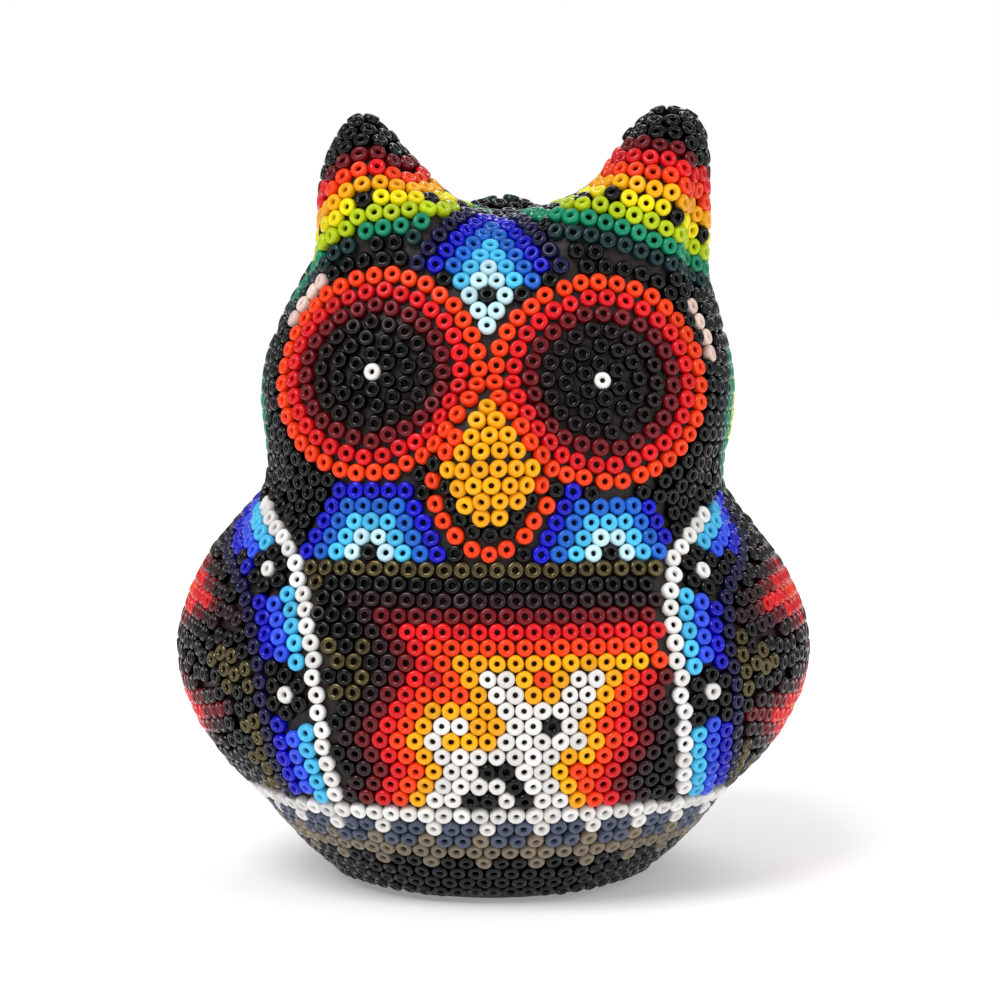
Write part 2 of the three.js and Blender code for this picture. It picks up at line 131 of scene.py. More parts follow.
def welded(points, corners, reach=0.005):
    """The same triangles, with points at one place made one."""
    tree = point_tree(points)
    home = np.array([min(hit[1] for hit in tree.find_range(point, reach)) for point in points])
    corners = home[corners]
    a, b, c = corners.T
    used, corners = np.unique(corners[(a != b) & (b != c) & (c != a)], return_inverse=True)
    return points[used], corners.reshape(-1, 3)


def triangles(node):
    """Points in millimetres and corners of a node's triangles."""
    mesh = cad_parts[node].data
    mesh.calc_loop_triangles()
    points = np.empty(len(mesh.vertices) * 3)
    mesh.vertices.foreach_get("co", points)
    corners = np.empty(len(mesh.loop_triangles) * 3, int)
    mesh.loop_triangles.foreach_get("vertices", corners)
    return welded(points.reshape(-1, 3) / MM, corners.reshape(-1, 3))


def face_normals(points, corners):
    a, b, c = (points[corners[:, k]] for k in range(3))
    return np.cross(b - a, c - a)


def unit(vectors):
    return vectors / (np.linalg.norm(vectors, axis=1, keepdims=True) + 1e-12)


def point_normals(points, corners):
    """Unit normals at the points, each the mean of its faces' normals weighted by their angles."""
    normals = unit(face_normals(points, corners))
    total = np.zeros_like(points)
    for k in range(3):
        here = points[corners[:, k]]
        one = points[corners[:, (k + 1) % 3]] - here
        two = points[corners[:, (k + 2) % 3]] - here
        cosine = (unit(one) * unit(two)).sum(1)
        np.add.at(total, corners[:, k], normals * np.arccos(np.clip(cosine, -1, 1))[:, None])
    return unit(total)


def outer_skin(node):
    """The triangles of a shell that face away from the middle of the owl, without its flat rim below."""
    points, corners = triangles(node)
    normals = face_normals(points, corners)
    outwards = points[corners].mean(1) - np.array(STAR_MIDDLE)
    lowest = points[:, 2].min()
    on_rim = (points[corners][:, :, 2] < lowest + 0.01).all(1)
    return welded(points, corners[((normals * outwards).sum(1) > 0) & ~on_rim])


def curved(points, corners, steps):
    """The surface with each triangle split and bulged to meet its neighbours smoothly (PN triangles)."""
    p = points[corners].transpose(1, 0, 2)
    n = point_normals(points, corners)[corners].transpose(1, 0, 2)

    def third(i, j):
        lift = ((p[j] - p[i]) * n[i]).sum(1, keepdims=True)
        return (2 * p[i] + p[j] - lift * n[i]) / 3

    edge = {(i, j): third(i, j) for i in range(3) for j in range(3) if i != j}
    mean = sum(edge.values()) / 6
    heart = mean + (mean - p.mean(0)) / 2
    grid = {}
    rows = []
    for a in range(steps + 1):
        for b in range(steps + 1 - a):
            u, v, w = (steps - a - b) / steps, a / steps, b / steps
            grid[a, b] = len(rows)
            rows.append(
                u**3 * p[0] + v**3 * p[1] + w**3 * p[2] + 6 * u * v * w * heart
                + 3 * (u * u * v * edge[0, 1] + u * v * v * edge[1, 0] + v * v * w * edge[1, 2])
                + 3 * (v * w * w * edge[2, 1] + u * u * w * edge[0, 2] + u * w * w * edge[2, 0])
            )
    faces = []
    for a in range(steps):
        for b in range(steps - a):
            faces.append((grid[a, b], grid[a + 1, b], grid[a, b + 1]))
            if a + b < steps - 1:
                faces.append((grid[a + 1, b], grid[a + 1, b + 1], grid[a, b + 1]))
    count = len(corners)
    all_points = np.concatenate(rows)
    all_corners = np.array(faces)[:, None, :] * count + np.arange(count)[None, :, None]
    return welded(all_points, all_corners.reshape(-1, 3))


def relaxed(points, corners, rounds):
    """The surface with small creases smoothed away. Its open edge stays where it is."""
    keys, count = np.unique(np.sort(edges(corners), axis=1), axis=0, return_counts=True)
    fixed = np.zeros(len(points), bool)
    fixed[keys[count == 1].ravel()] = True
    for strength in (0.5, -0.52) * rounds:
        total = np.zeros_like(points)
        number = np.zeros(len(points))
        for i, j in ((0, 1), (1, 0)):
            np.add.at(total, keys[:, i], points[keys[:, j]])
            np.add.at(number, keys[:, i], 1)
        moved = points + strength * (total / number[:, None] - points)
        points = np.where(fixed[:, None], points, moved)
    return points


STRIDE = 0.8  # the longest step of a walk along the surface
TINY = 1e-6  # shorter than this is nothing


class Surface:
    """A smooth triangle mesh to lay beads on."""

    def __init__(self, points, corners):
        self.points = points
        self.corners = corners
        self.normals = point_normals(points, corners)
        self.tree = face_tree(points, corners)
        self.vectors = [Vector(p) for p in points]
        self.directions = [Vector(n) for n in self.normals]

    def nearest(self, place):
        """The surface point nearest a place, and the smooth normal there."""
        location, _, face, _ = self.tree.find_nearest(place)
        a, b, c = self.corners[face]
        v, d = self.vectors, self.directions
        normal = barycentric_transform(location, v[a], v[b], v[c], d[a], d[b], d[c])
        return location, normal.normalized()

    def seen_from(self, origin, direction):
        """The first surface point on a line."""
        return self.tree.ray_cast(Vector(origin), Vector(direction))[0]

    def in_front(self, x, z):
        return self.seen_from((x, -FAR, z), (0, 1, 0))

    def walk(self, start, heading, length):
        """Where a straight walk along the surface ends."""
        steps = max(1, math.ceil(length / STRIDE))
        place, normal = self.nearest(start)
        heading = Vector(heading)
        for _ in range(steps):
            heading = (heading - normal * heading.dot(normal)).normalized()
            place, normal = self.nearest(place + heading * (length / steps))
        return place

    def patch(self, centre, across, up):
        """The point this far across and up from a centre, for somebody who looks at the surface."""
        place, normal = self.nearest(centre)
        axis = Vector((0, 0, 1))
        upwards = (axis - normal * normal.dot(axis)).normalized()
        heading = upwards.cross(normal) * across + upwards * up
        length = heading.length
        return place if length < TINY else self.walk(place, heading, length)

    def contours(self, field, level):
        """The lines where a field, one number at each point, has a level: [(points, closed), ...]."""
        value = field - level
        value = np.where(value == 0, 1e-9, value)
        above = value[self.corners] > 0
        crossed = self.corners[above.any(1) & ~above.all(1)]
        above = value[crossed] > 0
        keys = np.full((len(crossed), 3), -1, np.int64)
        for k in range(3):
            i, j = crossed[:, k], crossed[:, (k + 1) % 3]
            split = above[:, k] != above[:, (k + 1) % 3]
            keys[split, k] = (np.minimum(i, j) * len(value) + np.maximum(i, j))[split]
        links = {}
        for pair in np.sort(keys, axis=1)[:, 1:].tolist():
            links.setdefault(pair[0], []).append(pair[1])
            links.setdefault(pair[1], []).append(pair[0])

        def point(key):
            i, j = divmod(key, len(value))
            t = value[i] / (value[i] - value[j])
            return self.points[i] + t * (self.points[j] - self.points[i])

        lines = []
        ends = [key for key, others in links.items() if len(others) == 1]
        unused = dict.fromkeys(ends + list(links))
        while unused:
            key = next(iter(unused))
            chain = []
            while key is not None:
                unused.pop(key, None)
                chain.append(key)
                key = next((other for other in links[key] if other in unused), None)
            closed = len(chain) > 2 and chain[0] in links[chain[-1]]
            lines.append((np.array([point(key) for key in chain]), closed))
        return lines


COARSE = outer_skin("wax_coat")


def skin(steps, rounds):
    """The frame's wax coat made fine and smooth: points, corners, and normals at the points."""
    points, corners = curved(*COARSE, steps)
    points = relaxed(points, corners, rounds)
    return points, corners, point_normals(points, corners)


skin_points, skin_corners, skin_normals = skin(8, 6)
owl = Surface(skin_points + (TOP_OVER_CAD_WAX - BEAD_HEIGHT / 2) * skin_normals, skin_corners)
HEIGHTS = owl.points[:, 2]


def on_owl(place):
    return owl.nearest(place)[0]


# ---- laying beads


class Layer:
    """The beads laid so far."""

    def __init__(self):
        self.places = []
        self.pieces = []
        self.sunk = []
        self.cells = {}

    def cell(self, place):
        return tuple(int(c // PITCH) for c in place)

    def note(self, place):
        self.cells.setdefault(self.cell(place), []).append(place)

    def crowded(self, place, reach):
        around = itertools.product(*((c - 1, c, c + 1) for c in self.cell(place)))
        others = (other for cell in around for other in self.cells.get(cell, ()))
        return any((other - place).length < reach for other in others)

    def lay(self, place, piece, closest=CLOSEST, sink=0.0):
        """Lays one bead, if there is room for it."""
        if place is None or place.z < LOWEST_BEAD or self.crowded(place, closest):
            return
        self.places.append(place)
        self.pieces.append(piece)
        self.sunk.append(sink)
        self.note(place)

    def settle(self, rounds):
        """Beads that overlap push each other apart along the surface. Those of the ground give way most."""
        ease = np.array([GROUND_EASE if piece == "ground" else MOTIF_EASE for piece in self.pieces])
        for _ in range(rounds):
            tree = point_tree(self.places)
            moved = []
            for i, place in enumerate(self.places):
                push = Vector()
                for other, j, distance in tree.find_range(place, SETTLED):
                    if j != i and distance > TINY:
                        share = ease[i] / (ease[i] + ease[j])
                        push += (place - other) * ((SETTLED - distance) / distance * share)
                pushed = on_owl(place + push * SETTLE_SHARE)
                moved.append(pushed if pushed.z > LOWEST_BEAD else place)
            self.places = moved
        self.cells = {}
        for place in self.places:
            self.note(place)


layer = Layer()


def stretches(line, closed, keep):
    """The parts of a line whose points are wanted, as [(points, closed), ...]."""
    wanted = keep(line)
    if wanted.all():
        return [(line, closed)]
    if closed:
        first = int(np.argmin(wanted))
        line, wanted = np.roll(line, -first, axis=0), np.roll(wanted, -first)
    parts = []
    start = None
    for i, good in enumerate([*wanted, False]):
        if good and start is None:
            start = i
        elif not good and start is not None:
            if i - start > 1:
                parts.append((line[start:i], False))
            start = None
    return parts


def spaced(line, closed, pitch=PITCH, anchor=None, phase=0.0, multiple=1):
    """Places at equal steps along a line. One of them is the phase, in steps, away from the anchor."""
    if closed:
        line = np.concatenate([line, line[:1]])
    run = np.concatenate([[0], np.cumsum(np.linalg.norm(np.diff(line, axis=0), axis=1))])
    total = run[-1]
    start = total / 2
    if anchor is not None:
        start = run[np.argmin(np.linalg.norm(line - np.array(anchor), axis=1))]
    if closed:
        count = max(1, round(total / pitch / multiple)) * multiple
        at = (start + (np.arange(count) + phase) * total / count) % total
    else:
        first = math.ceil(-start / pitch - phase)
        last = math.floor((total - start) / pitch - phase)
        at = start + (np.arange(first, last + 1) + phase) * pitch
    return [Vector([np.interp(s, run, line[:, k]) for k in range(3)]) for s in at]


def distance_to(line, points):
    """How far each of many points is from a line of closely spaced points."""
    tree = point_tree(line)
    return np.array([tree.find(point)[2] for point in points])


def rows_at(field, level, keep):
    """The wanted parts of the lines where a field has a level: [(points, closed), ...]."""
    return [part for line in owl.contours(field, level) for part in stretches(*line, keep)]


PROFILE_STEP = 0.1  # a profile is followed in steps of this height


def profile_levels(direction, start, end, step):
    """Heights of level rows one step apart along the surface, from a start height to an end height."""
    sign = 1 if end > start else -1
    levels = [start]
    direction = Vector(direction)

    def seen(z):
        return owl.seen_from(direction * FAR + Vector((0, 0, z)), -direction)

    before = seen(start)
    z = start
    walked = 0.0
    while (end - z) * sign > 0:
        z += sign * PROFILE_STEP
        here = seen(z)
        if here is None:
            break
        walked += (here - before).length
        before = here
        if walked >= step:
            levels.append(z)
            walked -= step
    return levels


# ---- beak

BEAK = middle("beak_gold_field")
# Beads in each golden row, from the top, and how far the row is moved across, in beads.
BEAK_ROWS = [(1, -0.2), (2, -0.2), (3, 0), (4, 0), (6, -0.1), (5, 0.1), (4, 0.1), (2, 0.1)]
BEAK_TOP = 3.55  # rows from the middle of the field up to the first row
# Rows wrapped round the lower half of the beak: half width, top and drop, how close their beads may lie, and
# how deep they sit.
BEAK_ARCS = {
    "beak_orange": (7.4, -0.6, 10.3, 1.8, 0),
    "beak_black": (5.7, -1.2, 7.8, 1.3, 0.35),
    "chin_black": (9.5, 0, 12.6, TIGHT, 0),
}
ARC_STEPS = 60


def under_beak(name):
    """A row of beads wrapped round the lower half of the beak."""
    half_width, top, drop, closest, sink = BEAK_ARCS[name]
    centre = owl.in_front(BEAK.x, BEAK.z)
    line = []
    for step in range(ARC_STEPS + 1):
        angle = math.pi * step / ARC_STEPS
        line.append(owl.patch(centre, half_width * math.cos(angle), top - drop * math.sin(angle)))
    for place in spaced(np.array(line), False):
        layer.lay(place, name, closest, sink)


def beak():
    centre = owl.in_front(BEAK.x, BEAK.z)
    for row, (count, shift) in enumerate(BEAK_ROWS):
        for i in range(count):
            across = (i - (count - 1) / 2 + shift) * PITCH
            layer.lay(owl.patch(centre, across, (BEAK_TOP - row) * ROW), "beak_gold", TIGHT)
    under_beak("beak_orange")
    under_beak("beak_black")


# ---- eyes

EYE_PIECES = ["black", "black", "dark", "maroon", "red", "orange"]  # from the middle outwards
EYE_RING = 2.09  # middle to middle between rings; ring n takes 6 n beads
EYE_CLOSEST = 1.75
# The rings are a little wider than high, and most so on the side away from the beak.
EYE_INWARD = 1.04
EYE_OUTWARD = 1.1
EYE_HIGH = 0.98
BESIDE_BEAK = range(96, 137, 8)  # degrees from above, towards the beak
BLACK_RINGS = (7, 8, 9)  # rings of the ground that follow the eye
BLACK_RINGS_CLOSEST = 1.9
# Ring and angles from above, in degrees, of the few pale pink beads beside each eye.
PINK = {"left": (7.3, [-56, -49, -40, -33]), "right": (7.7, [50, 57, 67, 74])}


def around_eye(name, ring, degrees):
    """A place on a ring round an eye."""
    centre = on_owl(middle(f"eye_{name}_pupil_bead"))
    angle = math.radians(degrees)
    wide = EYE_OUTWARD if math.sin(angle) * SIDES[name] > 0 else EYE_INWARD
    radius = ring * EYE_RING
    return owl.patch(centre, wide * radius * math.sin(angle), EYE_HIGH * radius * math.cos(angle))


def eye_ring(name, ring, piece, closest):
    turn = dice.random()
    for i in range(6 * ring):
        layer.lay(around_eye(name, ring, 360 * (i + turn) / (6 * ring)), piece, closest)


def beside_beak(name):
    """Orange beads in the nook between an eye and the upper half of the beak."""
    first_outside = len(EYE_PIECES) + 1
    for degrees in BESIDE_BEAK:
        layer.lay(around_eye(name, first_outside, -SIDES[name] * degrees), f"eye_{name}_orange", TIGHT)


def eye(name):
    layer.lay(around_eye(name, 0, 0), f"eye_{name}_pupil")
    for ring, colour in enumerate(EYE_PIECES, start=1):
        eye_ring(name, ring, f"eye_{name}_{colour}", EYE_CLOSEST)


def beside_eye(name):
    """The pale pink beads, and rows of black that follow the eye where there is room."""
    ring, angles = PINK[name]
    for degrees in angles:
        layer.lay(around_eye(name, ring, degrees), "head_pink")
    for black_ring in BLACK_RINGS:
        eye_ring(name, black_ring, "ground", BLACK_RINGS_CLOSEST)


# ---- blue diamonds and fans

BLUES = ["black", "ice", "sky", "azure", "royal", "navy"]
FAN_RINGS = 5  # the fans have no navy ring
FOREHEAD_UP = 5.5  # from the point of the forehead's diamond up to its palest bead
TIP_ROWS = (-2, 2)  # the rows of the diamond that are laid before the eyes, and those after them
UPPER_ROWS = (0, 8)


def lattice(centre, piece, shade, first, last, reach):
    """Beads in staggered rows round a centre. shade(across, row) in beads gives a colour, or None."""
    for row in range(first, last + 1):
        for i in range(-reach, reach + 1):
            across = i + stagger(row)
            colour = shade(across, row)
            if colour:
                layer.lay(owl.patch(centre, across * PITCH, row * ROW), f"{piece}_{colour}")


def diamond(across, row):
    """How many rings of a diamond away from its middle."""
    return round(abs(across) + abs(row) / 2)


def hexagon(across, row):
    """How many rings of a hexagon away from its middle."""
    return round(max(abs(row), abs(across) + abs(row) / 2))


def ringed(colours, ring_at):
    """A shade in which the colours follow each other outwards, ring by ring."""

    def shade(across, row):
        ring = ring_at(across, row)
        return colours[ring] if ring < len(colours) else None

    return shade


diamond_shade = ringed(BLUES, diamond)


def tip_shade(across, row):
    """The lower corner of the forehead's diamond, which keeps its place between the eyes."""
    return diamond_shade(across, row) if abs(across) <= 1 + row / 2 else None


def forehead(shade, first, last):
    low, high = box("forehead_blue_diamond")
    centre = owl.in_front((low.x + high.x) / 2, low.z + FOREHEAD_UP)
    lattice(centre, "forehead", shade, first, last, len(BLUES) - 1)


def cheek(name):
    low, _ = box(f"cheek_{name}_blue_fan")
    centre = owl.in_front(middle(f"cheek_{name}_blue_fan").x, low.z + 1)
    lattice(centre, f"cheek_{name}", ringed(BLUES[:FAN_RINGS], hexagon), 0, FAN_RINGS, FAN_RINGS)


# ---- breast


LINE_ENDS = (0.2, 0.1)  # left out at the bottom and at the top
LINE_STEP = 0.3


def white_line(name):
    """The middle of the white line on a wing, as closely spaced surface points from the bottom up."""
    points, corners = triangles(f"wing_{name}_white_line")
    one, two = points[edges(corners).T]
    low, high = points[:, 2].min(), points[:, 2].max()
    line = []
    for z in np.arange(low + LINE_ENDS[0], high - LINE_ENDS[1], LINE_STEP):
        crossed = (one[:, 2] - z) * (two[:, 2] - z) < 0
        a, b = one[crossed], two[crossed]
        x = a[:, 0] + (z - a[:, 2]) / (b[:, 2] - a[:, 2]) * (b[:, 0] - a[:, 0])
        line.append(owl.in_front((x.min() + x.max()) / 2, z))
    return np.array(line)


LINES = {name: white_line(name) for name in SIDES}
LINE_TOP = min(line[-1, 2] for line in LINES.values())
BREAST_EDGE = 0.42 * PITCH  # the breast's rows end this far inside the white lines


def outside(name, points):
    """How far points lie outwards of a white line, along X."""
    line = LINES[name]
    edge = np.interp(points[:, 2], line[:, 2], line[:, 0])
    return SIDES[name] * (points[:, 0] - edge)


def on_breast(points):
    inside = np.ones(len(points), bool)
    for name in SIDES:
        inside &= outside(name, points) < -BREAST_EDGE
    return inside & (points[:, 1] < FRONT)


# A stepped sign of an animal in white beads. Rows from the top, staggered by half a bead, with the
# places of its beads across, counted from its middle.
SIGN = [
    (0, [-2, -1, 3, 4]),
    (1, [-1.5, -0.5, 2.5, 3.5]),
    (2, [-1, 0, 1, 2, 3]),
    (3, [-4.5, -3.5, -0.5, 0.5, 2.5]),
    (4, [-5, -1, 0, 1, 2, 3]),
    (5, [-4.5, -3.5, -2.5, -1.5, -0.5, 0.5, 1.5]),
    (6, [-4, -3, 0, 1]),
    (7, [-4.5, -3.5, -2.5, -1.5, 0.5, 1.5]),
    (8, [-5, -4, -1, 1, 2]),
]
# Dark beads in the sign: its eye, and the shade between its legs.
SIGN_DARK = [(3, [1.5]), (6, [-2, -1]), (7, [-0.5]), (8, [-3, -2, 0])]
HALO = ["white", "gold", "orange", "red", "maroon", "smoky", "black"]
SIGN_FIRST_ROW = 7  # rows under the bronze row
BREAST_ROWS = 16
# Over the sign the bands of the halo run straight across, and each is longer than the one under it.
HALO_ENDS = (-2.0, 5.0)
HALO_WIDENING = 1.5
SCATTERED_FROM = -8.2  # bronze beads are scattered left of this
SCATTERED = 0.2  # the part of the beads there that is bronze


def among(places_by_row, across, row):
    return any(r == row and across in places for r, places in places_by_row)


def halo_ring(across, row):
    """Rings from the nearest white bead of the sign, or from the ends of a straight band over it."""
    if row >= 0:
        return min(hexagon(across - a, row - r) for r, places in SIGN for a in places)
    left, right = HALO_ENDS
    beyond = max(left + HALO_WIDENING * row - across, across - right + HALO_WIDENING * row, 0)
    return round(beyond - row)


def breast():
    top = middle("breast_bronze_row").z
    ring = middle("foot_white_ring").z
    length = PROFILE_STEP * (len(profile_levels((0, -1, 0), top, ring, PROFILE_STEP)) - 1)
    levels = profile_levels((0, -1, 0), top, ring, length / BREAST_ROWS)
    for index, z in enumerate(levels[:BREAST_ROWS]):
        breast_row(index, z, middle("breast_white_motif").x)


def breast_row(index, z, sign_x):
    """One level row of the breast. Its colours are counted from the middle of the sign."""
    row = index - SIGN_FIRST_ROW
    shift = stagger(row)
    anchor = owl.in_front(sign_x, z)
    for part, _ in rows_at(HEIGHTS, z, on_breast):
        if part[0, 0] > part[-1, 0]:
            part = part[::-1]
        places = spaced(part, False, anchor=anchor, phase=shift)
        off_middle = [abs(place.x - sign_x - shift * PITCH) for place in places]
        nearest = off_middle.index(min(off_middle))
        for i, place in enumerate(places):
            layer.lay(place, "breast_" + breast_colour(i - nearest + shift, row, index))


def breast_colour(across, row, index):
    if index == 0:
        return "bronze_row"
    if among(SIGN_DARK, across, row):
        return "black"
    ring = halo_ring(across, row)
    if ring < len(HALO) - 1:
        return HALO[ring]
    scattered = across < SCATTERED_FROM and dice.random() < SCATTERED
    return "bronze" if scattered else "black"


# ---- wings

FLOWER_PETALS = 6
COLUMNS = ["sky", "cornflower", "royal", "navy"]
BAND_LEVELS = ("upper", "middle", "lower")
COLUMN_PITCH = 1.98
COLUMN_CLOSEST = 1.8
LINE_PITCH = 2.12  # along the white line of a wing
LAST_COLUMN = 8
MARGIN = 1  # columns run this far past the white line, and blue beads this far past their bands
# Bronze beads on the black of a wing: a level row, and one column over a span of heights.
BRONZE_SCATTERED = 0.14
BRONZE_ROW = (29.3, 31.3)
BRONZE_COLUMN = {"left": (5, 15, 25), "right": (5, 14, 39)}


def wing_line(name):
    for place in spaced(LINES[name], False, LINE_PITCH):
        layer.lay(place, f"wing_{name}_white", TIGHT)


def flower(name, level):
    centre = on_owl(middle(f"wing_{name}_{level}_flower"))
    piece = f"wing_{name}_flower"
    layer.lay(centre, piece + "_white", TIGHT)
    for i in range(FLOWER_PETALS):
        angle = math.tau * (i + 0.5) / FLOWER_PETALS
        place = owl.patch(centre, PITCH * math.cos(angle), PITCH * math.sin(angle))
        layer.lay(place, piece + "_black", TIGHT)


def band_at(name, z):
    """Whether one of a wing's blue bands is at a height."""
    ends = [box(f"wing_{name}_{level}_blue_band") for level in BAND_LEVELS]
    return any(low.z - MARGIN < z < high.z + MARGIN for low, high in ends)


def columns(name, first, last):
    """Columns of beads that follow the white line on its outer side."""
    offset = distance_to(LINES[name], owl.points)
    field = np.where(outside(name, owl.points) > 0, offset, -offset)
    ring_top = box("foot_white_ring")[1].z

    def keep(points):
        on_wing = (points[:, 2] < LINE_TOP + MARGIN) & (points[:, 2] > ring_top)
        return on_wing & (outside(name, points) > 0) & (points[:, 1] < FRONT)

    for column in range(first, last + 1):
        for part, _ in rows_at(field, column * COLUMN_PITCH, keep):
            for place in spaced(part, False, phase=stagger(column)):
                layer.lay(place, column_piece(name, column, place.z), COLUMN_CLOSEST)


def column_piece(name, column, z):
    if column > len(COLUMNS):
        which, low, high = BRONZE_COLUMN[name]
        bronze = BRONZE_ROW[0] < z < BRONZE_ROW[1] or (column == which and low < z < high)
        bronze = bronze or dice.random() < BRONZE_SCATTERED
        return f"wing_{name}_" + ("bronze" if bronze else "black")
    in_band = column == len(COLUMNS) or band_at(name, z)
    return f"wing_{name}_{COLUMNS[column - 1]}" if in_band else f"wing_{name}_black"


SUNS = {"upper": ["orange", "red", "red", "maroon", "smoky"],
        "lower": ["yellow", "orange", "red", "red", "maroon", "smoky"]}
SUN_SLOPE = (0.5, 1.1)  # rings per bead across and per row up: the suns are wider than high
SUN_BACK = 2  # the beads' suns lie this much further back than the middles of their fields


def sun_ring(across, row):
    return round(SUN_SLOPE[0] * abs(across) + SUN_SLOPE[1] * abs(row))


def sun(name, level):
    """A warm sun on the side of a wing, ring by ring."""
    centre = on_owl(middle(f"wing_{name}_{level}_sun") + Vector((0, SUN_BACK, 0)))
    reach = len(SUNS[level])
    lattice(centre, f"wing_{name}_sun", ringed(SUNS[level], sun_ring), -reach, reach, 2 * reach)


# ---- foot

FOOT_STEP = 1.05 * ROW
FOOT_ROWS = ["white", "slate", "slate", "taupe", "taupe", "black"]  # the rows under these are black too


def foot():
    start = middle("foot_white_ring").z
    for row, z in enumerate(profile_levels((0, -1, 0), start, LOWEST_BEAD + 0.05, FOOT_STEP)):
        line, closed = max(owl.contours(HEIGHTS, z), key=lambda found: len(found[0]))
        anchor = owl.in_front(0, z)
        for i, place in enumerate(spaced(line, closed, anchor=anchor, phase=stagger(row), multiple=3)):
            colour = FOOT_ROWS[min(row, len(FOOT_ROWS) - 1)]
            third = i % 3 == 0
            if row == 1 and third:
                colour = "white"
            elif row == 2 and third:
                colour = "taupe"
            elif row == 4 and not third:
                colour = "black"
            layer.lay(place, f"foot_{colour}")


# ---- ears

# Rows of beads from the tip down, and their depths under the tip at the middle of the ear.
EAR_COLOURS = 3 * ["black"] + ["maroon", "red", "orange", "gold", "yellow", "lime", "green", "teal"]
EAR_DEPTHS = {
    "left": [0.6, 2.4, 3.7, 5.0, 6.3, 7.6, 9.3, 11.0, 12.6, 14.0, 15.4],
    "right": [0.6, 2.1, 3.6, 5.1, 7.1, 9.1, 11.1, 13.2, 15.2, 17.1, 19.0],
}
# How the rows of an ear run: their fall outwards and its curl, and their rise inwards, at the tip and below.
EAR_RUN = {
    "left": {"fall": 0.2, "curl": 0.09, "rise_top": -0.34, "rise_low": 0.12},
    "right": {"fall": 0.55, "curl": 0.04, "rise_top": 0.05, "rise_low": 0.45},
}
RISE_REACH = 8  # the rows rise inwards up to about here, and then run level
FALL_REACH = 9  # and they fall outwards up to here, a little less far on the back of the ear
FALL_REACH_BEHIND = 5.5
CROWN_DROP = 4.5  # the crown counts as this much lower, so that the rows close behind the ears
# Where each of these begins and is complete: the back of an ear along Y, its lower part under its tip, the
# crown inwards of an ear, and the crown behind the ears along Y.
EAR_BACK = (-16, -7)
EAR_LOW = (4, 14)
CROWN_INWARDS = (3, 9)
CROWN_BEHIND = (-8, 2)
EAR_CLOSEST = 1.6
EARS_OVER = 60  # no row of an ear lies lower than this
DOT_EVERY = 4  # a dark bead in the yellow row


def ear_field(name, points):
    """Height of points over an ear's rows, as if the rows were level."""
    low, high = box(f"ear_{name}_black_tip")
    run = EAR_RUN[name]
    side = SIDES[name]
    out = side * (points[:, 0] - (low.x + high.x) / 2)
    behind = smooth(points[:, 1], *EAR_BACK)
    reach = FALL_REACH + (FALL_REACH_BEHIND - FALL_REACH) * behind
    outwards = np.clip(out, 0, reach)
    inwards = RISE_REACH * np.tanh(np.maximum(-out, 0) / RISE_REACH)
    down = high.z - points[:, 2]
    rise = run["rise_top"] + (run["rise_low"] - run["rise_top"]) * smooth(down, *EAR_LOW)
    crown = np.maximum(behind * smooth(-out, *CROWN_INWARDS), smooth(points[:, 1], *CROWN_BEHIND))
    drop = rise * inwards + CROWN_DROP * crown
    return points[:, 2] + run["fall"] * outwards + run["curl"] * outwards**2 - drop


def ear(name):
    side = SIDES[name]
    tip = box(f"ear_{name}_black_tip")[1].z
    crown = middle("forehead_blue_diamond").x + 1
    field = ear_field(name, owl.points)

    def keep(points):
        return side * (points[:, 0] - crown) > 0

    for row, (colour, depth) in enumerate(zip(EAR_COLOURS, EAR_DEPTHS[name])):
        for part, closed in rows_at(field, tip - depth, keep):
            if part[:, 2].mean() < EARS_OVER:
                continue
            for i, place in enumerate(spaced(part, closed, phase=stagger(row))):
                dotted = colour == "yellow" and i % DOT_EVERY == 2
                layer.lay(place, f"ear_{name}_" + ("dot" if dotted else colour), EAR_CLOSEST)


# ---- sides of the head, back and ground

HEAD_SIDE = ["yellow", "lime", "lime", "green", "green", "teal"]
HEAD_SIDE_MIDDLE = (-7, 60)  # along Y and Z
GROUND_STEP = 0.97 * ROW
GROUND_TOP = 84
GROUND_PROFILE = (0.7, 0.7, 0)  # the ground's rows are evenly spaced along this side
BACK_RINGS = ["white", "red", "red", "orange", "gold", "black", "navy", "royal", "azure", "sky"]


def head_side(name):
    side = SIDES[name]
    centre = owl.seen_from((side * FAR, *HEAD_SIDE_MIDDLE), (-side, 0, 0))
    reach = len(HEAD_SIDE)
    lattice(centre, "head_side", ringed(HEAD_SIDE, hexagon), -reach, reach, reach)


def back_flower():
    centre = on_owl(middle("back_red_flower"))
    reach = len(BACK_RINGS)
    lattice(centre, "back_flower", ringed(BACK_RINGS, hexagon), -reach, reach, reach)


def head_back():
    centre = on_owl(middle("head_back_blue_diamond"))
    reach = len(BLUES)
    lattice(centre, "head_back", diamond_shade, -2 * reach, 2 * reach, reach)


def ground():
    """Level rows of black beads wherever no motif is."""
    lowest = middle("foot_white_ring").z
    levels = profile_levels(GROUND_PROFILE, lowest + ROW, GROUND_TOP, GROUND_STEP)
    for row, z in enumerate(levels):
        for line, closed in owl.contours(HEIGHTS, z):
            for place in spaced(line, closed, phase=stagger(row)):
                layer.lay(place, "ground", GROUND_CLOSEST)


def fill_chinks(reach):
    """One more bead wherever the wax shows enough to take it."""
    order = list(range(len(owl.points)))
    dice.shuffle(order)
    for i in order:
        layer.lay(Vector(owl.points[i]), "ground", reach)


# ---- all the beads

